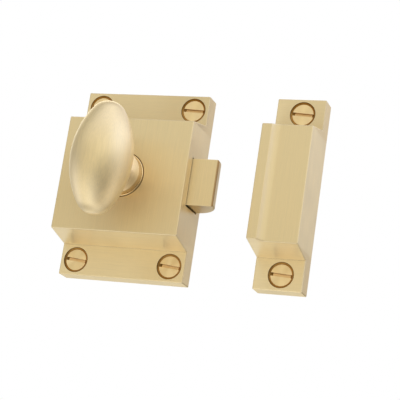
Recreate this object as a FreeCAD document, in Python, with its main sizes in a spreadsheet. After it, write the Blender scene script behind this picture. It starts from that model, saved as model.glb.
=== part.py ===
import FreeCAD, Part
import math
import os
import Sketcher
from FreeCAD import Placement, Rotation, Vector

# Cupboard catch latch with its keeper, in millimetres, as mounted on a door: X to the right (the bolt's way),
# Y into the door, Z up. The origin is the middle of the case's back face, so everything in front has Y below 0.

doc = FreeCAD.newDocument("cupboard_catch_latch")
sheet = doc.addObject("Spreadsheet::Sheet", "Sizes")

# Driving sizes. Each is set by itself. Depths are counted forward from the back plane.
SIZES = {
    # Case
    "case_width": 45,
    "case_height": 65.5,
    "plate_thickness": 6.3,
    "box_rise": 12,
    "slope_foot": 22.2,
    "slope_run": 2.5,
    "wall": 3,
    "edge_radius": 0.35,
    # Wood screws
    "screw_margin": 5.5,
    "head_radius": 3.75,
    "head_edge": 0.15,
    "sink_radius": 4.35,
    "shank_radius": 1.85,
    "shank_gap": 0.2,
    "thread_radius": 1.65,
    "screw_length": 19,
    "screw_point": 3,
    "slot_width": 1.1,
    "slot_depth": 0.9,
    "low_slot_lean": 6,
    "high_slot_lean": 3,
    "keeper_slot_lean": 4,
    "seat_gap": 0.02,
    # Knob
    "knob_depth": 36.4,
    "knob_half_length": 19,
    "knob_half_width": 10.15,
    "knob_tip_radius": 6.4,
    "stem_radius": 3.9,
    "foot_radius": 7.05,
    "foot_rim": 2.25,
    "foot_gap": 0.15,
    "flare_height": 3.6,
    "flare_bend": 8,
    # Bush that the stem's foot turns on
    "bush_radius": 7.5,
    "bush_proud": 0.3,
    "bush_flange": 1.4,
    "bush_edge": 0.25,
    "recess_gap": 0.12,
    "sleeve_radius": 5.6,
    # Spindle
    "spindle_radius": 3.6,
    "running_gap": 0.05,
    "socket_radius": 3,
    "socket_depth": 9,
    "square_side": 5,
    "inner_radius": 2.4,
    # Bolt
    "bolt_room": 1.5,
    "bolt_thickness": 10.4,
    "bolt_half_height": 8,
    "bolt_reach": 9.2,
    "bolt_round": 9.4,
    "bolt_edge": 0.6,
    "bolt_travel": 7.6,
    "slot_gap": 0.4,
    "guide_gap": 0.3,
    "guide_thickness": 1.5,
    "guide_step": 1,
    "rail_gap": 0.15,
    "rail_width": 2,
    "tail_thickness": 2.5,
    "bar_width": 2.4,
    "bar_margin": 1.6,
    "fork_wall": 2.5,
    "fork_gap": 0.15,
    "fork_start": 0.9,
    "clear_gap": 0.4,
    # Follower
    "tip_radius": 1.6,
    "finger_half_width": 1.1,
    "finger_thickness": 3,
    "hub_radius": 5.2,
    # Spring
    "spring_radius": 2.6,
    "wire_radius": 0.25,
    "spring_turns": 5,
    "spring_edge": 0.65,
    "spigot_length": 1.5,
    # Bridge, its screws and the spindle's fastening
    "bridge_thickness": 1.8,
    "bridge_inset": 1.8,
    "bridge_half_width": 4.5,
    "bridge_end_gap": 0.3,
    "boss_radius": 2.8,
    "boss_blend": 0.3,
    "boss_margin": 7.5,
    "small_head_radius": 2.2,
    "small_head_height": 1.2,
    "small_shank_radius": 1.2,
    "small_screw_length": 6,
    "small_hole_gap": 0.15,
    "tap_spare": 1,
    "small_slot_width": 0.6,
    "small_slot_depth": 0.6,
    "tap_gap": 0.05,
    "washer_radius": 4.2,
    "washer_thickness": 0.4,
    "clip_radius": 4,
    "clip_thickness": 0.6,
    "clip_mouth": 70,
    "groove_depth": 0.4,
    "stack_gap": 0.05,
    "spindle_lead": 0.4,
    # Keeper
    "keeper_gap": 24.15,
    "keeper_width": 16.7,
    "keeper_screw_shift": 0.7,
    "lip_width": 3.4,
    "lip_rise": 1.6,
    "cove_radius": 3.2,
    "pocket_gap": 1.5,
}

# Sizes that follow from the driving ones
DERIVED = {
    "case_half_width": "case_width / 2",
    "case_half_height": "case_height / 2",
    "case_depth": "plate_thickness + box_rise",
    "slope_top": "slope_foot - slope_run",
    "cavity_half_width": "case_half_width - wall",
    "cavity_half_height": "slope_top - wall",
    "cavity_depth": "case_depth - wall",
    "screw_across": "case_half_width - screw_margin",
    "screw_up": "(case_half_height + slope_foot) / 2",
    "head_sink": "sink_radius - head_radius - head_edge - seat_gap",
    "head_depth": "plate_thickness - head_sink",
    "head_cone": "head_radius - shank_radius",
    "head_face_radius": "head_radius - head_edge",
    "head_cone_end": "head_edge + head_cone",
    "point_start": "screw_length - screw_point",
    "slot_half_width": "slot_width / 2",
    "knob_sweep_radius": "(knob_half_width ^ 2 + knob_half_length ^ 2 - 2 * knob_half_length * knob_tip_radius)"
                         " / (2 * (knob_half_width - knob_tip_radius))",
    "knob_sweep_centre": "knob_sweep_radius - knob_half_width",
    "knob_tip_centre": "knob_half_length - knob_tip_radius",
    "knob_join_across": "knob_tip_radius * knob_sweep_centre / (knob_sweep_radius - knob_tip_radius)",
    "knob_join_up": "knob_tip_centre * knob_sweep_radius / (knob_sweep_radius - knob_tip_radius)",
    "bush_depth": "case_depth + bush_proud",
    "bush_back": "bush_depth - bush_flange",
    "bush_face_radius": "bush_radius - bush_edge",
    "bush_edge_depth": "bush_depth - bush_edge",
    "bush_bore": "spindle_radius + running_gap",
    "recess_radius": "bush_radius + recess_gap",
    "recess_depth": "bush_flange - bush_proud",
    "foot_depth": "bush_depth + foot_gap",
    "foot_top": "foot_depth + foot_rim",
    "flare_top": "foot_top + flare_height",
    "socket_end": "foot_depth + socket_depth",
    "socket_bore": "socket_radius + seat_gap",
    "bolt_depth": "cavity_depth - bolt_room",
    "bolt_back": "bolt_depth - bolt_thickness",
    "bolt_end": "case_half_width + bolt_reach",
    "bolt_round_start": "bolt_end - bolt_round",
    "bolt_round_depth": "bolt_back + bolt_round",
    "block_left": "hub_radius + clear_gap + bolt_travel",
    "tail_depth": "bolt_depth - tail_thickness",
    "slot_left": "spindle_radius + running_gap + clear_gap",
    "slot_right": "slot_left + bolt_travel",
    "bar_right": "hub_radius + clear_gap",
    "bar_left": "bar_right + bar_width",
    "tail_half_height": "spring_radius + wire_radius + bar_margin",
    "finger_front": "tail_depth - clear_gap",
    "finger_back": "finger_front - finger_thickness",
    "hub_back": "bridge_front + clear_gap",
    "hub_length": "finger_front - hub_back",
    "finger_reach": "fork_high - clear_gap - tip_radius",
    "half_turn": "asin(bolt_travel / 2 / finger_reach) / 1 deg",
    "fork_place": "bolt_travel / 2",
    "fork_inner": "tip_radius + fork_gap",
    "fork_outer": "fork_inner + fork_wall",
    "fork_low": "finger_reach * cos(half_turn * 1 deg) - tip_radius + fork_start",
    "fork_high": "boss_up - boss_radius - clear_gap",
    "fork_length": "tail_depth - finger_back",
    "fork_left_outer": "fork_place - fork_outer",
    "fork_left_inner": "fork_place - fork_inner",
    "fork_right_inner": "fork_place + fork_inner",
    "fork_right_outer": "fork_place + fork_outer",
    "guide_low": "bolt_half_height + guide_gap",
    "guide_high": "guide_low + guide_thickness",
    "guide_left": "fork_right_outer + rail_gap",
    "guide_height": "cavity_depth - bolt_back - guide_step",
    "rail_height": "bolt_room - rail_gap",
    "rail_low": "slot_left",
    "rail_high": "slot_left + rail_width",
    "spring_depth": "bolt_depth - spring_radius - wire_radius - spring_edge",
    "spring_room": "cavity_half_width - bar_left",
    "spigot_radius": "spring_radius - wire_radius - clear_gap",
    "bar_back": "spring_depth - spring_radius - wire_radius - spring_edge",
    "bar_length": "tail_depth - bar_back",
    "bridge_front": "bridge_inset + bridge_thickness",
    "bridge_end": "cavity_half_height - bridge_end_gap",
    "boss_across": "cavity_half_width - boss_margin",
    "boss_up": "cavity_half_height - boss_radius + boss_blend",
    "boss_height": "cavity_depth - bridge_front",
    "bridge_arm": "boss_across + boss_radius",
    "bridge_low": "boss_up - boss_radius",
    "bridge_hole": "inner_radius + running_gap",
    "small_hole": "small_shank_radius + small_hole_gap",
    "tap_radius": "small_shank_radius + tap_gap",
    "small_head_top": "bridge_inset - small_head_height",
    "small_slot_half": "small_slot_width / 2",
    "washer_top": "bridge_inset - stack_gap",
    "washer_back": "washer_top - washer_thickness",
    "clip_top": "washer_back - stack_gap",
    "clip_back": "clip_top - clip_thickness",
    "groove_radius": "inner_radius - groove_depth",
    "clip_bore": "groove_radius + running_gap",
    "groove_front": "clip_top + stack_gap / 2",
    "groove_back": "clip_back - stack_gap / 2",
    "spindle_back": "groove_back - spindle_lead",
    "square_length": "finger_front - hub_back",
    "keeper_left": "case_half_width + keeper_gap",
    "keeper_right": "keeper_left + keeper_width",
    "keeper_screw_place": "keeper_left + keeper_width / 2 + keeper_screw_shift",
    "lip_depth": "case_depth + lip_rise",
    "lip_half": "slope_top - (slope_foot - slope_top) / box_rise * lip_rise",
    "lip_right": "keeper_left + lip_width",
    "cove_right": "lip_right + sqrt(2 * cove_radius * lip_rise - lip_rise ^ 2)",
    "pocket_half_height": "bolt_half_height + pocket_gap",
    "pocket_right": "keeper_right - wall",
    "hole_radius": "shank_radius + shank_gap",
    "bolt_height": "2 * bolt_half_height",
    "bolt_slot_front": "bolt_depth + slot_gap",
    "bolt_slot_back": "bolt_back - slot_gap",
    "bolt_slot_half": "bolt_half_height + slot_gap",
    "sleeve_hole": "sleeve_radius + seat_gap",
    "tap_depth": "small_screw_length - bridge_thickness + tap_spare",
    "small_screw_tip": "bridge_inset + small_screw_length",
    "square_half": "square_side / 2",
    "square_hole": "square_side / 2 + running_gap",
    "mouth_half": "clip_radius * tan(clip_mouth / 2 * 1 deg)",
    "cove_past": "keeper_right + lip_rise",
    "lip_past": "lip_depth + lip_rise",
    "pocket_left": "keeper_left - wall",
}


def fill_sheet():
    """Writes every size to the sheet under its own name, the derived ones as formulas."""
    for row, (name, value) in enumerate(SIZES.items(), start=1):
        sheet.set(f"A{row}", name)
        sheet.set(f"B{row}", str(value))
        sheet.setAlias(f"B{row}", name)
    doc.recompute()
    for row, name in enumerate(DERIVED, start=1):
        sheet.set(f"C{row}", name)
        sheet.setAlias(f"D{row}", name)
    for row, rule in enumerate(DERIVED.values(), start=1):
        sheet.set(f"D{row}", "=" + rule)
    doc.recompute()


def amount(size):
    """The number behind a size's name, with an optional minus before it; 0 stands for itself."""
    if size == 0:
        return 0.0
    if size.startswith("-"):
        return -float(sheet.get(size[1:]))
    return float(sheet.get(size))


def rule(size):
    """The expression that binds a property to a size's name."""
    return "-Sizes." + size[1:] if size.startswith("-") else "Sizes." + size


def new_body(name):
    body = doc.addObject("PartDesign::Body", name)
    body.Label = name
    return body


def sketch_on(body, role, offset=0):
    """A sketch on one of the body's own origin planes, moved off it by a size."""
    sketch = body.newObject("Sketcher::SketchObject", body.Name + "_sketch")
    plane = next(datum for datum in body.Origin.OriginFeatures if datum.Role == role)
    sketch.AttachmentSupport = [(plane, "")]
    sketch.MapMode = "FlatFace"
    if offset:
        sketch.AttachmentOffset = Placement(Vector(0, 0, amount(offset)), Rotation())
        sketch.setExpression("AttachmentOffset.Base.z", rule(offset))
    return sketch


def hold(sketch, kind, geometry, point, size):
    """Ties one coordinate of a point to a size, or to the axis when it is 0."""
    if size == 0:
        axis = -2 if kind == "DistanceX" else -1
        sketch.addConstraint(Sketcher.Constraint("PointOnObject", geometry, point, axis))
        return
    index = sketch.addConstraint(Sketcher.Constraint(kind, -1, 1, geometry, point, amount(size)))
    sketch.setExpression(f"Constraints[{index}]", rule(size))


def hold_radius(sketch, geometry, size):
    index = sketch.addConstraint(Sketcher.Constraint("Radius", geometry, amount(size)))
    sketch.setExpression(f"Constraints[{index}]", rule(size))


def bend(start, end, radius, side):
    """The arc from start to end whose centre is on the left of the way (side 1) or on its right (side -1)."""
    chord = end - start
    rise = math.sqrt(max(radius ** 2 - (chord.Length / 2) ** 2, 0))
    across = Vector(-chord.y, chord.x, 0).normalize()
    centre = (start + end) / 2 + across * rise * side
    first, last = (start, end) if side > 0 else (end, start)
    angles = [math.atan2(point.y - centre.y, point.x - centre.x) for point in (first, last)]
    if angles[1] < angles[0]:
        angles[1] += 2 * math.pi
    return Part.ArcOfCircle(Part.Circle(centre, Vector(0, 0, 1), radius), *angles)


def outline(sketch, corners, arcs=None):
    """A closed outline through corners given as pairs of sizes. arcs gives a side's radius and its centre's side."""
    arcs = arcs or {}
    points = [Vector(amount(across), amount(up), 0) for across, up in corners]
    count = len(points)
    ends = []
    for side in range(count):
        start, end = points[side], points[(side + 1) % count]
        if side in arcs:
            radius, turn = arcs[side]
            index = sketch.addGeometry(bend(start, end, amount(radius), turn), False)
            ends.append((index, 1, 2) if turn > 0 else (index, 2, 1))
        else:
            ends.append((sketch.addGeometry(Part.LineSegment(start, end), False), 1, 2))
    for side in range(count):
        index, first, last = ends[side]
        following, entry, leave = ends[(side + 1) % count]
        sketch.addConstraint(Sketcher.Constraint("Coincident", index, last, following, entry))
    for side, (across, up) in enumerate(corners):
        index, first, last = ends[side]
        hold(sketch, "DistanceX", index, first, across)
        hold(sketch, "DistanceY", index, first, up)
    for side, (radius, turn) in arcs.items():
        hold_radius(sketch, ends[side][0], radius)


def rectangle(sketch, left, right, low, high):
    outline(sketch, [(left, low), (right, low), (right, high), (left, high)])


def circle(sketch, across, up, radius):
    centre = Vector(amount(across), amount(up), 0)
    index = sketch.addGeometry(Part.Circle(centre, Vector(0, 0, 1), amount(radius)), False)
    hold(sketch, "DistanceX", index, 3, across)
    hold(sketch, "DistanceY", index, 3, up)
    hold_radius(sketch, index, radius)


def feature(kind, sketch):
    body = sketch.getParentGeoFeatureGroup()
    made = body.newObject("PartDesign::" + kind, body.Name + "_" + kind.lower())
    made.Profile = sketch
    sketch.Visibility = False
    return made


def pad(sketch, length, reverse=False, middle=False):
    made = feature("Pad", sketch)
    made.Length = amount(length)
    made.setExpression("Length", rule(length))
    made.Reversed = reverse
    if middle:
        made.Midplane = True
    doc.recompute()
    return made


def pocket(sketch, length=None, reverse=False, middle=False):
    """A cut of a given depth, or right through."""
    made = feature("Pocket", sketch)
    made.Reversed = reverse
    if length is None:
        made.Type = "ThroughAll"
    else:
        made.Length = amount(length)
        made.setExpression("Length", rule(length))
    if middle:
        made.Midplane = True
    doc.recompute()
    return made


def turn(sketch, axis="V_Axis", cut=False):
    made = feature("Groove" if cut else "Revolution", sketch)
    made.ReferenceAxis = (sketch, [axis])
    made.Angle = 360
    doc.recompute()
    return made


def soften(body, radius, test):
    """Rounds the edges of the body's tip that pass a test."""
    base = body.Tip
    names = [f"Edge{i}" for i, edge in enumerate(base.Shape.Edges, start=1) if test(edge)]
    made = body.newObject("PartDesign::Fillet", body.Name + "_fillet")
    made.Base = (base, names)
    made.Radius = amount(radius)
    made.setExpression("Radius", rule(radius))
    doc.recompute()
    return made


def prism_edge(edge):
    """An outer edge of a cast body: not round the back plane, and not the inner corner at a slope's foot."""
    points = [vertex.Point for vertex in edge.Vertexes]
    plate = amount("plate_thickness")
    foot = amount("slope_foot")
    on_back = all(abs(point.y) < 1e-6 for point in points)
    in_corner = all(abs(point.y + plate) < 1e-6 and abs(abs(point.z) - foot) < 1e-6 for point in points)
    return not on_back and not in_corner


def screw_holes(body, places):
    """Countersunk holes through the flanges, each with its countersink at the plate's front."""
    sketch = sketch_on(body, "XZ_Plane", "plate_thickness")
    for across, up in places:
        circle(sketch, across, up, "hole_radius")
    doc.recompute()
    made = body.newObject("PartDesign::Hole", body.Name + "_hole")
    made.Profile = sketch
    doc.recompute()
    made.Threaded = False
    made.DepthType = "ThroughAll"
    made.setExpression("Diameter", "2 * Sizes.hole_radius")
    made.HoleCutType = "Countersink"
    made.HoleCutCustomValues = True
    made.setExpression("HoleCutDiameter", "2 * Sizes.sink_radius")
    made.HoleCutCountersinkAngle = 90
    doc.recompute()


def cast_section(body, depth, half_height, middle=True):
    """The shared section of case and keeper, seen along X: a thick plate and a box with sloped ends."""
    sketch = sketch_on(body, "YZ_Plane", 0 if middle else "keeper_left")
    outline(sketch, [
        (0, "-case_half_height"), (0, "case_half_height"),
        ("-plate_thickness", "case_half_height"), ("-plate_thickness", "slope_foot"),
        ("-" + depth, half_height), ("-" + depth, "-" + half_height),
        ("-plate_thickness", "-slope_foot"), ("-plate_thickness", "-case_half_height"),
    ])
    return sketch


def make_case():
    body = new_body("latch_case")
    pad(cast_section(body, "case_depth", "slope_top"), "case_width", middle=True)
    soften(body, "edge_radius", prism_edge)

    cavity = sketch_on(body, "XZ_Plane")
    rectangle(cavity, "-cavity_half_width", "cavity_half_width", "-cavity_half_height", "cavity_half_height")
    pocket(cavity, "cavity_depth", reverse=True)

    bosses = sketch_on(body, "XZ_Plane", "cavity_depth")
    for across in ("-boss_across", "boss_across"):
        for up in ("-boss_up", "boss_up"):
            circle(bosses, across, up, "boss_radius")
    pad(bosses, "boss_height", reverse=True)

    guides = sketch_on(body, "XZ_Plane", "cavity_depth")
    rectangle(guides, "guide_left", "cavity_half_width", "guide_low", "guide_high")
    rectangle(guides, "guide_left", "cavity_half_width", "-guide_high", "-guide_low")
    pad(guides, "guide_height", reverse=True)

    rails = sketch_on(body, "XZ_Plane", "cavity_depth")
    rectangle(rails, "slot_left", "cavity_half_width", "rail_low", "rail_high")
    rectangle(rails, "slot_left", "cavity_half_width", "-rail_high", "-rail_low")
    pad(rails, "rail_height", reverse=True)

    spigot = sketch_on(body, "YZ_Plane", "-cavity_half_width")
    circle(spigot, "-spring_depth", 0, "spigot_radius")
    pad(spigot, "spigot_length")

    bolt_slot = sketch_on(body, "YZ_Plane", "case_half_width")
    rectangle(bolt_slot, "-bolt_slot_front", "-bolt_slot_back", "-bolt_slot_half", "bolt_slot_half")
    pocket(bolt_slot, "wall")

    recess = sketch_on(body, "XZ_Plane", "case_depth")
    circle(recess, 0, 0, "recess_radius")
    pocket(recess, "recess_depth")
    bore = sketch_on(body, "XZ_Plane", "case_depth")
    circle(bore, 0, 0, "sleeve_hole")
    pocket(bore, "wall")

    taps = sketch_on(body, "XZ_Plane", "bridge_front")
    for across in ("-boss_across", "boss_across"):
        for up in ("-boss_up", "boss_up"):
            circle(taps, across, up, "tap_radius")
    pocket(taps, "tap_depth", reverse=True)

    places = [(across, up) for across in ("-screw_across", "screw_across") for up in ("-screw_up", "screw_up")]
    screw_holes(body, places)
    return body


def make_keeper():
    body = new_body("keeper")
    pad(cast_section(body, "lip_depth", "lip_half", middle=False), "keeper_width")

    cove = sketch_on(body, "XY_Plane")
    outline(cove, [
        ("lip_right", "-lip_depth"), ("cove_right", "-case_depth"), ("cove_past", "-case_depth"),
        ("cove_past", "-lip_past"), ("lip_right", "-lip_past"),
    ], arcs={0: ("cove_radius", -1)})
    pocket(cove, middle=True)
    soften(body, "edge_radius", keeper_edge)

    hollow = sketch_on(body, "XZ_Plane")
    rectangle(hollow, "pocket_left", "pocket_right", "-pocket_half_height", "pocket_half_height")
    pocket(hollow, "cavity_depth", reverse=True)

    screw_holes(body, [("keeper_screw_place", "-screw_up"), ("keeper_screw_place", "screw_up")])
    return body


def keeper_edge(edge):
    """As on the case, but the lip's hollow runs into the face without an edge."""
    points = [vertex.Point for vertex in edge.Vertexes]
    join = amount("cove_right")
    in_join = all(abs(point.x - join) < 1e-6 for point in points)
    return prism_edge(edge) and not in_join and edge.Curve.TypeId == "Part::GeomLine"


def make_wood_screw(name, across, up, lean):
    """A slotted countersunk wood screw with the envelope of its thread, sunk in the flange, its slot leaning."""
    body = new_body(name)
    profile = sketch_on(body, "XY_Plane")
    outline(profile, [
        (0, 0), ("head_face_radius", 0), ("head_radius", "head_edge"), ("shank_radius", "head_cone_end"),
        ("shank_radius", "head_depth"), ("thread_radius", "head_depth"), ("thread_radius", "point_start"),
        (0, "screw_length"),
    ])
    turn(profile)
    slot = sketch_on(body, "XZ_Plane")
    rectangle(slot, "-sink_radius", "sink_radius", "-slot_half_width", "slot_half_width")
    pocket(slot, "slot_depth")
    place(body, across, "-head_depth", up, lean)
    return body


def make_bridge_screw(name, across, up):
    """A slotted cheese-head screw whose head stands on the bridge and whose shank goes forward into a boss."""
    body = new_body(name)
    profile = sketch_on(body, "XY_Plane")
    outline(profile, [
        (0, "-small_head_top"), ("small_head_radius", "-small_head_top"), ("small_head_radius", "-bridge_inset"),
        ("small_shank_radius", "-bridge_inset"), ("small_shank_radius", "-small_screw_tip"),
        (0, "-small_screw_tip"),
    ])
    turn(profile)
    slot = sketch_on(body, "XZ_Plane", "small_head_top")
    rectangle(slot, "-boss_radius", "boss_radius", "-small_slot_half", "small_slot_half")
    pocket(slot, "small_slot_depth", reverse=True)
    place(body, across, 0, up)
    return body


def place(body, across, along, up, lean=0):
    """Moves a body to a place given by sizes, and turns it about Y by an angle in degrees."""
    turned = Rotation(Vector(0, 1, 0), amount(lean))
    body.Placement = Placement(Vector(amount(across), amount(along), amount(up)), turned)
    for axis, size in zip("xyz", (across, along, up)):
        if size != 0:
            body.setExpression("Placement.Base." + axis, rule(size))
    if lean:
        body.setExpression("Placement.Rotation.Angle", rule(lean) + " * 1 deg")


def make_knob():
    """The lemon-shaped knob, turned about its long axis, on a stem with a flare and a collar."""
    body = new_body("knob")
    half = sketch_on(body, "XZ_Plane", "knob_depth")
    outline(half, [
        (0, 0), ("knob_half_width", 0), ("knob_join_across", "knob_join_up"), (0, "knob_half_length"),
    ], arcs={1: ("knob_sweep_radius", 1), 2: ("knob_tip_radius", 1)})
    upper = turn(half)
    lower = body.newObject("PartDesign::Mirrored", "knob_lower_half")
    lower.Originals = [upper]
    lower.MirrorPlane = (next(d for d in body.Origin.OriginFeatures if d.Role == "XY_Plane"), [""])
    body.Tip = lower
    doc.recompute()
    stem = sketch_on(body, "XY_Plane")
    outline(stem, [
        (0, "-foot_depth"), ("foot_radius", "-foot_depth"), ("foot_radius", "-foot_top"),
        ("stem_radius", "-flare_top"), ("stem_radius", "-knob_depth"), (0, "-knob_depth"),
    ], arcs={2: ("flare_bend", 1)})
    turn(stem)
    socket = sketch_on(body, "XZ_Plane", "foot_depth")
    circle(socket, 0, 0, "socket_bore")
    pocket(socket, "socket_depth", reverse=True)
    return body


def make_bush():
    body = new_body("spindle_bush")
    profile = sketch_on(body, "XY_Plane")
    outline(profile, [
        ("bush_bore", "-cavity_depth"), ("sleeve_radius", "-cavity_depth"), ("sleeve_radius", "-bush_back"),
        ("bush_radius", "-bush_back"), ("bush_radius", "-bush_edge_depth"), ("bush_face_radius", "-bush_depth"),
        ("bush_bore", "-bush_depth"),
    ], arcs={4: ("bush_edge", -1)})
    turn(profile)
    return body


def make_spindle():
    """Threaded end in the stem, journal in the bush, square in the follower, journal and groove at the bridge."""
    body = new_body("spindle")
    profile = sketch_on(body, "XY_Plane")
    outline(profile, [
        (0, "-socket_end"), ("socket_radius", "-socket_end"), ("socket_radius", "-foot_depth"),
        ("spindle_radius", "-foot_depth"), ("spindle_radius", "-finger_front"), ("inner_radius", "-finger_front"),
        ("inner_radius", "-groove_front"), ("groove_radius", "-groove_front"), ("groove_radius", "-groove_back"),
        ("inner_radius", "-groove_back"), ("inner_radius", "-spindle_back"), (0, "-spindle_back"),
    ])
    turn(profile)
    square = sketch_on(body, "XZ_Plane", "hub_back")
    rectangle(square, "-square_half", "square_half", "-square_half", "square_half")
    pad(square, "square_length")
    tilt(body)
    return body


def make_follower():
    """The cam that turns with the spindle: a hub with a square hole, and a round-ended finger."""
    body = new_body("follower")
    hub = sketch_on(body, "XZ_Plane", "hub_back")
    circle(hub, 0, 0, "hub_radius")
    pad(hub, "hub_length")
    finger = sketch_on(body, "XZ_Plane", "finger_back")
    rectangle(finger, "-finger_half_width", "finger_half_width", 0, "finger_reach")
    pad(finger, "finger_thickness")
    tip = sketch_on(body, "XZ_Plane", "finger_back")
    circle(tip, 0, "finger_reach", "tip_radius")
    pad(tip, "finger_thickness")
    square = sketch_on(body, "XZ_Plane", "hub_back")
    rectangle(square, "-square_hole", "square_hole", "-square_hole", "square_hole")
    pocket(square, "hub_length", reverse=True)
    tilt(body)
    return body


def tilt(body):
    """Turns a body about the spindle's axis to the rest position, where the finger leans towards the bolt."""
    body.Placement = Placement(Vector(), Rotation(Vector(0, 1, 0), amount("half_turn")))
    body.setExpression("Placement.Rotation.Angle", "Sizes.half_turn * 1 deg")


def make_bolt():
    """A rectangular block with a rounded back corner, and a thin tail with a slot for the spindle and a fork."""
    body = new_body("bolt")
    block = sketch_on(body, "XY_Plane")
    outline(block, [
        ("block_left", "-bolt_depth"), ("bolt_end", "-bolt_depth"), ("bolt_end", "-bolt_round_depth"),
        ("bolt_round_start", "-bolt_back"), ("block_left", "-bolt_back"),
    ], arcs={2: ("bolt_round", 1)})
    pad(block, "bolt_height", middle=True)
    soften(body, "bolt_edge", bolt_edge)

    tail = sketch_on(body, "XZ_Plane", "tail_depth")
    outline(tail, [
        ("block_left", "bolt_half_height"), ("fork_right_outer", "bolt_half_height"),
        ("fork_right_outer", "fork_high"), ("fork_left_outer", "fork_high"),
        ("fork_left_outer", "bolt_half_height"), ("-bar_right", "tail_half_height"),
        ("-bar_left", "tail_half_height"), ("-bar_left", "-tail_half_height"),
        ("-bar_right", "-tail_half_height"), ("fork_left_outer", "-bolt_half_height"),
        ("block_left", "-bolt_half_height"),
    ])
    pad(tail, "tail_thickness")

    window = sketch_on(body, "XZ_Plane", "tail_depth")
    rectangle(window, "-slot_left", "slot_right", "-slot_left", "slot_left")
    pocket(window, "tail_thickness", reverse=True)

    fork = sketch_on(body, "XZ_Plane", "finger_back")
    rectangle(fork, "fork_left_outer", "fork_left_inner", "fork_low", "fork_high")
    rectangle(fork, "fork_right_inner", "fork_right_outer", "fork_low", "fork_high")
    pad(fork, "fork_length")

    bar = sketch_on(body, "XZ_Plane", "bar_back")
    rectangle(bar, "-bar_left", "-bar_right", "-tail_half_height", "tail_half_height")
    pad(bar, "bar_length")

    spigot = sketch_on(body, "YZ_Plane", "-bar_left")
    circle(spigot, "-spring_depth", 0, "spigot_radius")
    pad(spigot, "spigot_length", reverse=True)
    return body


def bolt_edge(edge):
    """The outer edges of the bolt's head, away from where the tail joins."""
    left = amount("block_left")
    return all(vertex.Point.x > left + 1e-6 for vertex in edge.Vertexes)


def make_bridge():
    body = new_body("back_bridge")
    plate = sketch_on(body, "XZ_Plane", "bridge_inset")
    outline(plate, [
        ("-bridge_arm", "-bridge_end"), ("bridge_arm", "-bridge_end"), ("bridge_arm", "-bridge_low"),
        ("bridge_half_width", "-bridge_low"), ("bridge_half_width", "bridge_low"), ("bridge_arm", "bridge_low"),
        ("bridge_arm", "bridge_end"), ("-bridge_arm", "bridge_end"), ("-bridge_arm", "bridge_low"),
        ("-bridge_half_width", "bridge_low"), ("-bridge_half_width", "-bridge_low"),
        ("-bridge_arm", "-bridge_low"),
    ])
    pad(plate, "bridge_thickness")
    holes = sketch_on(body, "XZ_Plane", "bridge_inset")
    circle(holes, 0, 0, "bridge_hole")
    for across in ("-boss_across", "boss_across"):
        for up in ("-boss_up", "boss_up"):
            circle(holes, across, up, "small_hole")
    pocket(holes, "bridge_thickness", reverse=True)
    return body


def make_washer():
    body = new_body("spindle_washer")
    profile = sketch_on(body, "XY_Plane")
    outline(profile, [
        ("bridge_hole", "-washer_top"), ("washer_radius", "-washer_top"), ("washer_radius", "-washer_back"),
        ("bridge_hole", "-washer_back"),
    ])
    turn(profile)
    return body


def make_clip():
    """An open spring ring in the spindle's groove, with its mouth towards the bolt."""
    body = new_body("spindle_clip")
    ring = sketch_on(body, "XZ_Plane", "clip_back")
    circle(ring, 0, 0, "clip_radius")
    circle(ring, 0, 0, "clip_bore")
    pad(ring, "clip_thickness")
    mouth = sketch_on(body, "XZ_Plane", "clip_back")
    outline(mouth, [(0, 0), ("clip_radius", "-mouth_half"), ("clip_radius", "mouth_half")])
    pocket(mouth, "clip_thickness", reverse=True)
    return body


def make_spring():
    """The compression spring between the case's left wall and the bolt's tail, its axis along X."""
    wire = amount("wire_radius")
    radius = amount("spring_radius")
    length = amount("spring_room") - 2 * wire
    path = Part.makeHelix(length / amount("spring_turns"), length, radius)
    section = Part.Wire(Part.makeCircle(wire, Vector(radius, 0, 0), Vector(0, 1, 0)))
    spring = doc.addObject("Part::Feature", "bolt_spring")
    spring.Label = "bolt_spring"
    spring.Shape = Part.Wire(path).makePipeShell([section], True, True)
    start = Vector(wire - amount("cavity_half_width"), -amount("spring_depth"), 0)
    spring.Placement = Placement(start, Rotation(Vector(0, 1, 0), 90))
    return spring


def write_parts(parts):
    """Checks every object, then writes one file for each sub-part."""
    doc.recompute()
    for item in doc.Objects:
        for state in item.State:
            if state in ("Invalid", "Error"):
                raise RuntimeError(f"{item.Name} is {state}")
    for part in parts:
        if part.Shape.isNull() or not part.Shape.isValid():
            raise RuntimeError(f"{part.Label} has no valid shape")
    os.makedirs("parts", exist_ok=True)
    for part in parts:
        shape = part.Shape
        print(f"{part.Label}: {len(shape.Solids)} solid, {shape.Volume:.2f} mm3")
        shape.exportStep(f"parts/{part.Label}.step")


def main():
    fill_sheet()
    parts = [
        make_case(), make_bush(), make_bridge(), make_knob(), make_spindle(), make_follower(), make_washer(),
        make_clip(), make_bolt(), make_spring(), make_keeper(),
    ]
    corners = [("-", "-"), ("", "-"), ("-", ""), ("", "")]
    for number, (left, down) in enumerate(corners, start=1):
        lean = "low_slot_lean" if down else "high_slot_lean"
        parts.append(make_wood_screw(f"case_screw_{number}", left + "screw_across", down + "screw_up", lean))
        parts.append(make_bridge_screw(f"bridge_screw_{number}", left + "boss_across", down + "boss_up"))
    for number, down in enumerate(("-", ""), start=1):
        name = f"keeper_screw_{number}"
        parts.append(make_wood_screw(name, "keeper_screw_place", down + "screw_up", "keeper_slot_lean"))
    write_parts(parts)


main()
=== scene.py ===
import math

import bmesh
import bpy
from mathutils import Matrix, Vector


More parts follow.
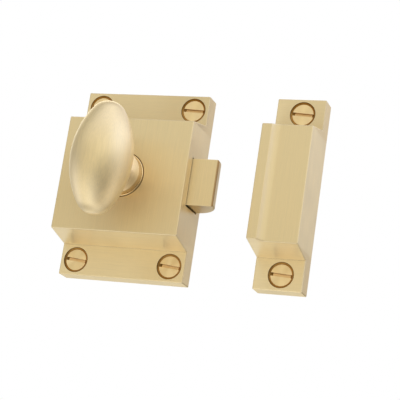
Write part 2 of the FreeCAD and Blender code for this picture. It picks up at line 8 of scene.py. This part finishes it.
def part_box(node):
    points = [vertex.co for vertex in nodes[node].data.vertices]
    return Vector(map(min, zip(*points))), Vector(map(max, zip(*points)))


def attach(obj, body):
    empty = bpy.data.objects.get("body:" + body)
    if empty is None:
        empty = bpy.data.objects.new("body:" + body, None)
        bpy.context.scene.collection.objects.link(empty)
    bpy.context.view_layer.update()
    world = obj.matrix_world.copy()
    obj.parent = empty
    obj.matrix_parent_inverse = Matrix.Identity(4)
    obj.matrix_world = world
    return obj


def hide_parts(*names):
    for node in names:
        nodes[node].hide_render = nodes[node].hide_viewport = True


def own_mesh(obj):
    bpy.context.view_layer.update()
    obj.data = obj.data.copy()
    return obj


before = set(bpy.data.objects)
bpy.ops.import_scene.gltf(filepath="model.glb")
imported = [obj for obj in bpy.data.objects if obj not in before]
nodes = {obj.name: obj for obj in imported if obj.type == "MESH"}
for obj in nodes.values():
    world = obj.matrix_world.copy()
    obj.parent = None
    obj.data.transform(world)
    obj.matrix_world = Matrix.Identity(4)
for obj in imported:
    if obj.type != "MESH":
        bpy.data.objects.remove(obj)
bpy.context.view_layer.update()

# The photograph's camera, fitted to the corners of case and keeper
CAMERA_PLACE = (0.184464, -0.434052, -0.122549)
CAMERA_RIGHT = (0.93907, 0.31108, 0.14621)
CAMERA_UP = (-0.05437, -0.28558, 0.95681)
CAMERA_BACK = (0.3394, -0.90646, -0.25126)
FOCAL_PIXELS = 1412.5
FRAME_PIXELS = 400
SENSOR = 36.0

# Studio: an even level, and soft lights given by direction and strength
STUDIO_LEVEL = 0.0
STUDIO_SHARPNESS = 11
STUDIO_LIGHTS = [
    ((-0.49, 0.70, 0.52), (2.22, 2.06, 1.62)),
    ((-0.95, -0.09, -0.28), (1.40, 1.47, 1.66)),
    ((0.82, -0.18, 0.55), (1.11, 1.30, 1.81)),
    ((-0.40, 0.68, -0.62), (1.17, 1.17, 1.11)),
    ((0.88, 0.24, -0.42), (1.19, 1.12, 1.02)),
    ((0.18, 0.26, -0.95), (0.97, 0.99, 1.04)),
    ((0.21, -0.95, 0.22), (0.99, 0.98, 0.87)),
    ((0.18, 0.00, 0.98), (0.90, 0.93, 1.01)),
    ((0.06, -0.40, -0.92), (0.90, 0.90, 0.96)),
    ((-0.16, -0.74, -0.65), (0.73, 0.81, 0.97)),
    ((0.03, -0.40, 0.92), (0.71, 0.75, 0.89)),
    ((0.89, 0.47, 0.02), (0.70, 0.73, 0.81)),
    ((-0.41, -0.41, -0.82), (0.62, 0.62, 0.57)),
    ((0.24, 0.75, 0.62), (0.59, 0.58, 0.63)),
    ((-0.49, -0.78, -0.38), (0.62, 0.58, 0.45)),
    ((-0.70, -0.41, 0.58), (0.56, 0.58, 0.55)),
    ((0.66, 0.24, 0.72), (0.50, 0.53, 0.66)),
    ((0.65, -0.65, 0.38), (0.49, 0.47, 0.40)),
    ((0.68, 0.58, 0.45), (0.44, 0.44, 0.50)),
    ((-0.30, -0.59, 0.75), (0.37, 0.39, 0.45)),
    ((-0.61, -0.73, 0.32), (0.28, 0.28, 0.27)),
    ((0.90, -0.42, 0.12), (0.28, 0.26, 0.21)),
    ((-0.34, -0.94, 0.05), (0.25, 0.23, 0.17)),
    ((-0.11, -0.87, 0.48), (0.14, 0.14, 0.14)),
]
FLOOR_HEIGHT = -0.16

# Colours, linear
BRASS = (0.86, 0.68, 0.37)
BRASS_KNOB = (0.86, 0.68, 0.37)
BRASS_STEM = (0.84, 0.58, 0.25)
BRASS_POLISHED = (0.94, 0.71, 0.37)
# Paler edge colour: wear, and a painted highlight along the edges
BRASS_WORN_HIGHLIGHT = (0.95, 0.8, 0.5)
# Dark brown for soiling, also used as painted shade in crevices and gaps
GRIME_AND_SHADE = (0.13, 0.07, 0.025)
# Painted shadow line at the rims of the sunk screw heads and the bush recess, and painted warm shade on the countersink
# walls
SINK_SHADOW = (0.05, 0.02, 0.003)
SINK_SHADE_GOLD = (0.5, 0.27, 0.07)
# Painted warm reflected light in the screw slots, and painted shade on their walls that face down
SLOT_REFLECTED_LIGHT = (0.9, 0.6, 0.27)
SLOT_WALL_SHADE = (0.3, 0.12, 0.03)
# Darker brown along the bolt's edge where its end meets its front
BOLT_EDGE_DARK = (0.42, 0.23, 0.07)
STEEL = (0.5, 0.49, 0.47)
STEEL_WORN = (0.68, 0.67, 0.65)

# Where the case and the keeper change their finish, in metres
SLOPE_TOP = 0.0197
CASE_HOLLOW = ((-0.0196, -0.01535, -0.0168), (0.0196, 0.001, 0.0168))
KEEPER_HOLLOW = ((0.04, -0.01535, -0.0096), (0.0604, 0.001, 0.0096))
# Radii and widths of the painted shade rings round the sunk screw heads and the bush recess
SINK_RIM = 0.0044
RECESS_RIM = 0.00785
RING_WIDTH = 0.0004
RING_BACK = -0.003
RING_FADE = 0.00008
# Depth of the screw heads' face, past which the slot gets its painted light, and the width of the bolt's darker edge
SCREW_FACE = -0.0058
BOLT_LINE = 0.0006

# Thread of a wood screw
THREAD_PITCH = 0.0016
THREAD_CREST = 0.00164
THREAD_ROOT = 0.7
THREAD_POINT = 0.003
THREAD_STEPS = 24
THREAD_PROFILE = [(0.0, 0.0), (0.35, 0.0), (0.6, 1.0), (0.68, 1.0), (0.9, 0.0)]


class Finish:
    """A material under construction, whose calls add a node and link or set its inputs."""

    def __init__(self, name):
        self.material = bpy.data.materials.new(name)
        self.material.use_nodes = True
        self.tree = self.material.node_tree
        self.shader = self.tree.nodes["Principled BSDF"]
        self.place = self.node("ShaderNodeTexCoord").outputs["Object"]

    def node(self, kind, inputs=None, **settings):
        made = self.tree.nodes.new(kind)
        for key, value in settings.items():
            setattr(made, key, value)
        for socket, value in (inputs or {}).items():
            self.put(made.inputs[socket], value)
        return made

    def put(self, socket, value):
        if isinstance(value, bpy.types.NodeSocket):
            self.tree.links.new(value, socket)
        else:
            socket.default_value = value

    def calc(self, operation, first, second=0.0, clamp=False):
        return self.node("ShaderNodeMath", {0: first, 1: second}, operation=operation, use_clamp=clamp).outputs[0]

    def remap(self, value, low, high, to_low=0.0, to_high=1.0):
        inputs = {"Value": value, "From Min": low, "From Max": high, "To Min": to_low, "To Max": to_high}
        return self.node("ShaderNodeMapRange", inputs, clamp=True).outputs["Result"]

    def noise(self, scale, detail=2.0, shift=0.0):
        """Cloudy noise whose grain is 1 / scale metres along each axis."""
        mapped = self.node("ShaderNodeMapping", {"Vector": self.place, "Scale": scale, "Location": (shift,) * 3})
        inputs = {"Vector": mapped.outputs[0], "Scale": 1.0, "Detail": detail, "Roughness": 0.55}
        return self.node("ShaderNodeTexNoise", inputs).outputs["Fac"]

    def mix(self, factor, first, second):
        return self.node("ShaderNodeMix", {2: first, 3: second, 0: factor}).outputs[0]

    def tint(self, factor, first, second):
        inputs = {0: factor, 6: colour(first), 7: colour(second)}
        return self.node("ShaderNodeMix", inputs, data_type="RGBA").outputs[2]

    def times(self, first, level):
        """A colour at another level."""
        made = self.node("ShaderNodeVectorMath", {3: level}, operation="SCALE")
        self.put(made.inputs[0], first)
        return made.outputs["Vector"]

    def axis(self, index):
        return self.node("ShaderNodeSeparateXYZ", {0: self.place}).outputs[index]

    def within(self, box):
        """1 inside a box of the part's own space, 0 outside."""
        low, high = box
        inside = 1.0
        for index in range(3):
            place = self.axis(index)
            above = self.calc("GREATER_THAN", place, low[index])
            below = self.calc("LESS_THAN", place, high[index])
            inside = self.calc("MULTIPLY", inside, self.calc("MULTIPLY", above, below))
        return inside

    def edges(self, radius):
        """1 along edges sharper than the radius, 0 on open faces."""
        rounded = self.node("ShaderNodeBevel", {"Radius": radius}, samples=6).outputs[0]
        flat = self.node("ShaderNodeNewGeometry").outputs["True Normal"]
        inputs = {0: rounded, 1: flat}
        same = self.node("ShaderNodeVectorMath", inputs, operation="DOT_PRODUCT").outputs["Value"]
        return self.remap(same, 0.98, 0.8)

    def crevices(self, distance, full=0.35, none=0.8):
        """1 deep in corners and gaps, 0 in the open."""
        shade = self.node("ShaderNodeAmbientOcclusion", {"Distance": distance}, samples=8).outputs["AO"]
        return self.remap(shade, none, full)


def colour(value):
    return value if isinstance(value, bpy.types.NodeSocket) else (*value, 1.0)


def scaled(value, factor):
    return tuple(channel * factor for channel in value)


def lines(finish, scale, shift=0.0):
    """Brush marks: streaks of two widths, long where the scale is small."""
    broad = finish.noise(scale, 2.0, shift)
    fine = finish.noise(scaled(scale, 3.7), 3.0, shift + 7.0)
    return finish.mix(0.7, broad, fine)


def metal(finish, base, worn_highlight, marks, roughness, spread, tone, height, edge, grime_and_shade, shade_reach, anisotropy=0.0,
          tangent=None):
    """Lays colour, wear and a painted edge highlight, soiling and painted crevice shade, roughness and relief over a
    set of brush marks.
    """
    cloud = finish.noise((90, 90, 90), 3.0, 3.0)
    streak = finish.remap(marks, 0.3, 0.7)
    patch = finish.remap(cloud, 0.3, 0.7)
    shade = finish.mix(0.4, streak, patch)
    level = finish.remap(shade, 0.0, 1.0, 1 - tone, 1 + tone)
    body = finish.times(base, level)
    # Paler edges: wear, and a painted highlight along them
    rubbed_highlight = finish.calc("MULTIPLY", finish.edges(edge), finish.remap(cloud, 0.25, 0.65, 0.35, 1.0))
    body = finish.tint(rubbed_highlight, body, worn_highlight)
    # Soiling and painted shade: darker in crevices and gaps, by ambient occlusion
    dirt_and_shade = finish.calc("MULTIPLY", finish.crevices(shade_reach), grime_and_shade)
    body = finish.tint(dirt_and_shade, body, GRIME_AND_SHADE)
    finish.put(finish.shader.inputs["Base Color"], body)
    finish.put(finish.shader.inputs["Metallic"], 1.0)
    rough = finish.calc("MULTIPLY_ADD", shade, 2 * spread)
    finish.put(rough.node.inputs[2], roughness - spread)
    rough = finish.mix(rubbed_highlight, rough, roughness * 0.75)
    rough = finish.mix(dirt_and_shade, rough, 0.7)
    finish.put(finish.shader.inputs["Roughness"], rough)
    relief = finish.node("ShaderNodeBump", {"Strength": 1.0, "Distance": height, "Height": marks})
    finish.put(finish.shader.inputs["Normal"], relief.outputs[0])
    finish.put(finish.shader.inputs["Anisotropic"], anisotropy)
    if tangent is not None:
        finish.put(finish.shader.inputs["Tangent"], tangent)
    return finish.material


def lacquered(finish, weight=1.0):
    """A clear satin lacquer over the brass, which pales it where it is seen at a slant."""
    finish.put(finish.shader.inputs["Coat Weight"], weight)
    finish.put(finish.shader.inputs["Coat Roughness"], 0.3)
    finish.put(finish.shader.inputs["Coat IOR"], 1.5)
    return finish.material


def cast_brass(name, hollow, rings):
    """Brushed outside, with marks down the box and across the flanges and slopes, as cast in the hollow, and
    with painted shade where the screw heads and the bush are sunk: a warm tone on the countersink walls and a painted
    shadow line at their rims."""
    finish = Finish(name)
    down = lines(finish, (1000, 1000, 38))
    across = lines(finish, (38, 1000, 1000), 5.0)
    height = finish.calc("ABSOLUTE", finish.axis(2))
    flange = finish.remap(height, SLOPE_TOP, SLOPE_TOP + 0.0002)
    marks = finish.mix(flange, down, across)
    inside = finish.within(hollow)
    marks = finish.mix(inside, marks, finish.noise((1300, 1300, 1300), 4.0))
    aside = finish.node("ShaderNodeCombineXYZ", {0: finish.calc("SUBTRACT", 1.0, flange), 1: 1.0, 2: flange})
    metal(finish, BRASS, BRASS_WORN_HIGHLIGHT, marks, 0.4, 0.06, 0.07, 0.000014, 0.0004, 0.6, 0.0005, 0.97, aside.outputs[0])
    # Masks for painted warm shade on each countersink wall and a painted shadow line at its rim
    sink_shade = line = 0.0
    for (low, high), rim in rings:
        across = finish.calc("SUBTRACT", finish.axis(0), (low[0] + high[0]) / 2)
        up = finish.calc("SUBTRACT", finish.axis(2), (low[2] + high[2]) / 2)
        squares = finish.calc("ADD", finish.calc("MULTIPLY", across, across), finish.calc("MULTIPLY", up, up))
        away = finish.calc("SQRT", squares)
        wall = finish.remap(away, rim, rim - RING_FADE)
        sink_shade = finish.calc("MAXIMUM", sink_shade, wall)
        line = finish.calc("MAXIMUM", line, finish.calc("MULTIPLY", wall, finish.remap(away, rim - RING_WIDTH, rim)))
    base = finish.shader.inputs["Base Color"].links[0].from_socket
    # The inside of the hollow is darkened towards the same dark brown
    base = finish.tint(finish.calc("MULTIPLY", inside, 0.45), base, GRIME_AND_SHADE)
    front = finish.calc("LESS_THAN", finish.axis(1), RING_BACK)
    sink_shade = finish.calc("MULTIPLY", sink_shade, front)
    # Painted warm shade on the countersink walls and a painted shadow line at their rims, front side only, with no
    # lacquer there
    base = finish.tint(sink_shade, base, SINK_SHADE_GOLD)
    base = finish.tint(finish.calc("MULTIPLY", line, front), base, SINK_SHADOW)
    finish.put(finish.shader.inputs["Base Color"], base)
    return lacquered(finish, finish.calc("SUBTRACT", 1.0, sink_shade))


def knob_brass(name):
    """Polished along its length, with turning marks on the stem."""
    finish = Finish(name)
    along = lines(finish, (900, 900, 30))
    turned = lines(finish, (20, 1500, 20), 4.0)
    stem = finish.remap(finish.axis(1), -0.0285, -0.026)
    marks = finish.mix(stem, along, turned)
    tangent = finish.node("ShaderNodeTangent", direction_type="RADIAL", axis="Z").outputs[0]
    base = finish.tint(finish.calc("MULTIPLY", stem, 0.7), BRASS_KNOB, BRASS_STEM)
    metal(finish, base, BRASS_WORN_HIGHLIGHT, marks, 0.48, 0.05, 0.12, 0.00002, 0.0003, 0.6, 0.0005, 0.6, tangent)
    return lacquered(finish)


def bolt_brass(name):
    """Brushed up and down, as the box is."""
    finish = Finish(name)
    marks = lines(finish, (1100, 1100, 40), 2.0)
    aside = finish.node("ShaderNodeCombineXYZ", {0: 1.0, 1: 1.0, 2: 0.0})
    metal(finish, BRASS, BRASS_WORN_HIGHLIGHT, marks, 0.4, 0.06, 0.1, 0.00002, 0.0005, 0.6, 0.0006, 0.97, aside.outputs[0])
    low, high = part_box("bolt")
    # Darker brown along the edge where the end meets the front
    end = finish.remap(finish.axis(0), high[0] - BOLT_LINE, high[0] - BOLT_LINE + 0.0001)
    front = finish.remap(finish.axis(1), low[1] + BOLT_LINE, low[1] + BOLT_LINE - 0.0001)
    base = finish.shader.inputs["Base Color"].links[0].from_socket
    line = finish.calc("MULTIPLY", finish.calc("MULTIPLY", end, front), 0.85)
    finish.put(finish.shader.inputs["Base Color"], finish.tint(line, base, BOLT_EDGE_DARK))
    return lacquered(finish)


def screw_brass(name):
    """Turned head, with painted warm reflected light in the slot and painted shade on the slot's walls that face down.
    """
    finish = Finish(name)
    marks = lines(finish, (700, 700, 150), 1.0)
    tangent = finish.node("ShaderNodeTangent", direction_type="RADIAL", axis="Y").outputs[0]
    metal(finish, BRASS_POLISHED, BRASS_WORN_HIGHLIGHT, marks, 0.35, 0.04, 0.03, 0.0000015, 0.0002, 0.5, 0.0002, 0.9, tangent)
    # Painted light in the slot: a warm reflected glow, and painted shade on walls that face down
    depth = finish.remap(finish.axis(1), SCREW_FACE, SCREW_FACE + 0.00005)
    cut = finish.calc("MULTIPLY", depth, finish.calc("LESS_THAN", finish.axis(1), 0.0))
    facing = finish.node("ShaderNodeNewGeometry").outputs["True Normal"]
    under = finish.remap(finish.node("ShaderNodeSeparateXYZ", {0: facing}).outputs[2], -0.5, -0.8)
    slot = finish.tint(under, SLOT_REFLECTED_LIGHT, SLOT_WALL_SHADE)
    base = finish.shader.inputs["Base Color"].links[0].from_socket
    finish.put(finish.shader.inputs["Base Color"], finish.tint(finish.calc("MULTIPLY", cut, 0.8), base, slot))
    return finish.material


def polished_brass(name):
    """Turned and polished: faint rings and a bright warm face."""
    finish = Finish(name)
    marks = lines(finish, (500, 1800, 500), 1.0)
    return metal(finish, BRASS_POLISHED, BRASS_WORN_HIGHLIGHT, marks, 0.25, 0.05, 0.03, 0.000002, 0.0002, 0.5, 0.0002)


def steel(name, roughness):
    """Plain mild steel with machining marks and dull corners."""
    finish = Finish(name)
    marks = lines(finish, (900, 900, 120), 6.0)
    return metal(finish, STEEL, STEEL_WORN, marks, roughness, 0.07, 0.08, 0.000006, 0.0003, 0.6, 0.001)


def floor_paint():
    """Pale matt floor with a faint mottle."""
    finish = Finish("floor_paint")
    mottle = finish.remap(finish.noise((14, 14, 14), 3.0), 0.3, 0.7)
    finish.put(finish.shader.inputs["Base Color"], finish.tint(mottle, (0.8, 0.8, 0.79), (0.84, 0.84, 0.83)))
    finish.put(finish.shader.inputs["Roughness"], finish.remap(mottle, 0, 1, 0.75, 0.85))
    return finish.material


def make_camera():
    data = bpy.data.cameras.new("camera")
    data.sensor_width = SENSOR
    data.lens = FOCAL_PIXELS * SENSOR / FRAME_PIXELS
    data.clip_start = 0.01
    data.clip_end = 20
    camera = bpy.data.objects.new("camera", data)
    turn = Matrix((CAMERA_RIGHT, CAMERA_UP, CAMERA_BACK)).transposed().to_4x4()
    camera.matrix_world = Matrix.Translation(CAMERA_PLACE) @ turn
    bpy.context.scene.collection.objects.link(camera)
    bpy.context.scene.camera = camera


def make_studio():
    """White behind the object for the camera, and soft lights round it for everything else."""
    world = bpy.data.worlds.new("studio")
    bpy.context.scene.world = world
    world.use_nodes = True
    tree = world.node_tree
    links = tree.links

    def vector(operation, first, second=None, factor=None):
        made = tree.nodes.new("ShaderNodeVectorMath")
        made.operation = operation
        for socket, value in ((0, first), (1, second), (3, factor)):
            if isinstance(value, bpy.types.NodeSocket):
                links.new(value, made.inputs[socket])
            elif value is not None:
                made.inputs[socket].default_value = value
        return made.outputs["Value" if operation == "DOT_PRODUCT" else "Vector"]

    unit = vector("NORMALIZE", tree.nodes.new("ShaderNodeTexCoord").outputs["Generated"])
    total = (STUDIO_LEVEL,) * 3
    for direction, strength in STUDIO_LIGHTS:
        value = vector("DOT_PRODUCT", unit, Vector(direction).normalized())
        for operation, amount in (("SUBTRACT", 1.0), ("MULTIPLY", STUDIO_SHARPNESS), ("EXPONENT", 0.0)):
            step = tree.nodes.new("ShaderNodeMath")
            step.operation = operation
            links.new(value, step.inputs[0])
            step.inputs[1].default_value = amount
            value = step.outputs[0]
        total = vector("ADD", total, vector("SCALE", strength, factor=value))
    choose = tree.nodes.new("ShaderNodeMix")
    choose.data_type = "RGBA"
    links.new(tree.nodes.new("ShaderNodeLightPath").outputs["Is Camera Ray"], choose.inputs[0])
    links.new(total, choose.inputs[6])
    choose.inputs[7].default_value = (1, 1, 1, 1)
    links.new(choose.outputs[2], tree.nodes["Background"].inputs["Color"])


def make_floor():
    mesh = bpy.data.meshes.new("floor")
    half = 1.5
    corners = [(-half, -half), (half, -half), (half, half), (-half, half)]
    mesh.from_pydata([(x, y, FLOOR_HEIGHT) for x, y in corners], [], [(0, 1, 2, 3)])
    floor = bpy.data.objects.new("floor", mesh)
    bpy.context.scene.collection.objects.link(floor)
    mesh.materials.append(floor_paint())
    floor.visible_glossy = False
    floor.visible_shadow = False


def crest_at(along, length):
    """The thread's outer radius, which shrinks over the point."""
    left = max(length - along, 0.0)
    return THREAD_CREST * min(left / THREAD_POINT, 1.0)


def make_screw(name, material):
    """A wood screw: the CAD node's head and shank, and a cut thread in place of its plain envelope."""
    low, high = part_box(name)
    across, up = (low[0] + high[0]) / 2, (low[2] + high[2]) / 2
    length = high[1]
    made = bmesh.new()
    made.from_mesh(nodes[name].data)
    spare = [face for face in made.faces if face.calc_center_median().y > 1e-5]
    bmesh.ops.delete(made, geom=spare, context="FACES")
    rows = math.ceil((length / THREAD_PITCH + 1) * THREAD_STEPS)
    grid = []
    for row in range(rows + 1):
        angle = 2 * math.pi * row / THREAD_STEPS
        start = THREAD_PITCH * (row / THREAD_STEPS - 1)
        ring = []
        for share, rise in THREAD_PROFILE:
            along = min(max(start + share * THREAD_PITCH, 0.0), length)
            crest = crest_at(along, length)
            root = THREAD_ROOT * crest
            radius = root + (crest - root) * rise * min(along / 0.001, 1.0)
            ring.append(made.verts.new((across + radius * math.cos(angle), along, up + radius * math.sin(angle))))
        grid.append(ring)
    count = len(THREAD_PROFILE)
    for row in range(rows):
        for column in range(count - 1):
            made.faces.new([grid[row][column], grid[row][column + 1], grid[row + 1][column + 1], grid[row + 1][column]])
        later = row + THREAD_STEPS
        if later < rows:
            made.faces.new([grid[row][count - 1], grid[later][0], grid[later + 1][0], grid[row + 1][count - 1]])
    bmesh.ops.remove_doubles(made, verts=made.verts, dist=1e-7)
    bmesh.ops.recalc_face_normals(made, faces=[face for face in made.faces if face.calc_center_median().y > 0])
    mesh = bpy.data.meshes.new(name + "_threaded")
    made.to_mesh(mesh)
    made.free()
    mesh.attributes.remove(mesh.attributes["custom_normal"])
    mesh.materials.clear()
    mesh.materials.append(material)
    mesh.shade_smooth()
    mesh.set_sharp_from_angle(angle=math.radians(35))
    piece = bpy.data.objects.new(name + "_threaded", mesh)
    bpy.context.scene.collection.objects.link(piece)
    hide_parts(name)
    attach(piece, "fixed")


def make_spring(material):
    """The CAD node's coil, which bears against the case's left wall, copied into a piece of its own on the fixed body.
    """
    node = nodes["bolt_spring"]
    mesh = node.data.copy()
    mesh.transform(node.matrix_world)
    mesh.materials.clear()
    mesh.materials.append(material)
    piece = bpy.data.objects.new("bolt_spring_coil", mesh)
    bpy.context.scene.collection.objects.link(piece)
    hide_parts("bolt_spring")
    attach(piece, "fixed")
    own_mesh(piece)


def dress(name, material):
    slots = nodes[name].data.materials
    slots.clear()
    slots.append(material)


make_camera()
bpy.context.scene.view_settings.view_transform = "Standard"
make_studio()
make_floor()

case_screws = [name for name in nodes if name.startswith("case_screw")]
keeper_screws = [name for name in nodes if name.startswith("keeper_screw")]
# Painted shade rings round the case's sunk screw heads and round the spindle bush's recess
case_rings = [(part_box(name), SINK_RIM) for name in case_screws] + [(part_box("spindle_bush"), RECESS_RIM)]
dress("latch_case", cast_brass("case_brass_brushed", CASE_HOLLOW, case_rings))
dress("keeper", cast_brass("keeper_brass_brushed", KEEPER_HOLLOW, [(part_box(name), SINK_RIM) for name in keeper_screws]))
dress("knob", knob_brass("knob_brass_satin"))
dress("bolt", bolt_brass("bolt_brass_filed"))
dress("spindle_bush", polished_brass("bush_brass_turned"))
screw_finish = screw_brass("screw_brass_polished")
plain_steel = steel("inner_steel_plain", 0.38)
bridge_finish = steel("bridge_screw_steel_turned", 0.3)
for name in nodes:
    if name.startswith("bridge_screw"):
        dress(name, bridge_finish)
for name in case_screws + keeper_screws:
    make_screw(name, screw_finish)
for name in ("back_bridge", "spindle", "follower", "spindle_washer"):
    dress(name, plain_steel)
spring_finish = steel("spring_steel_drawn", 0.28)
dress("spindle_clip", spring_finish)
make_spring(spring_finish)
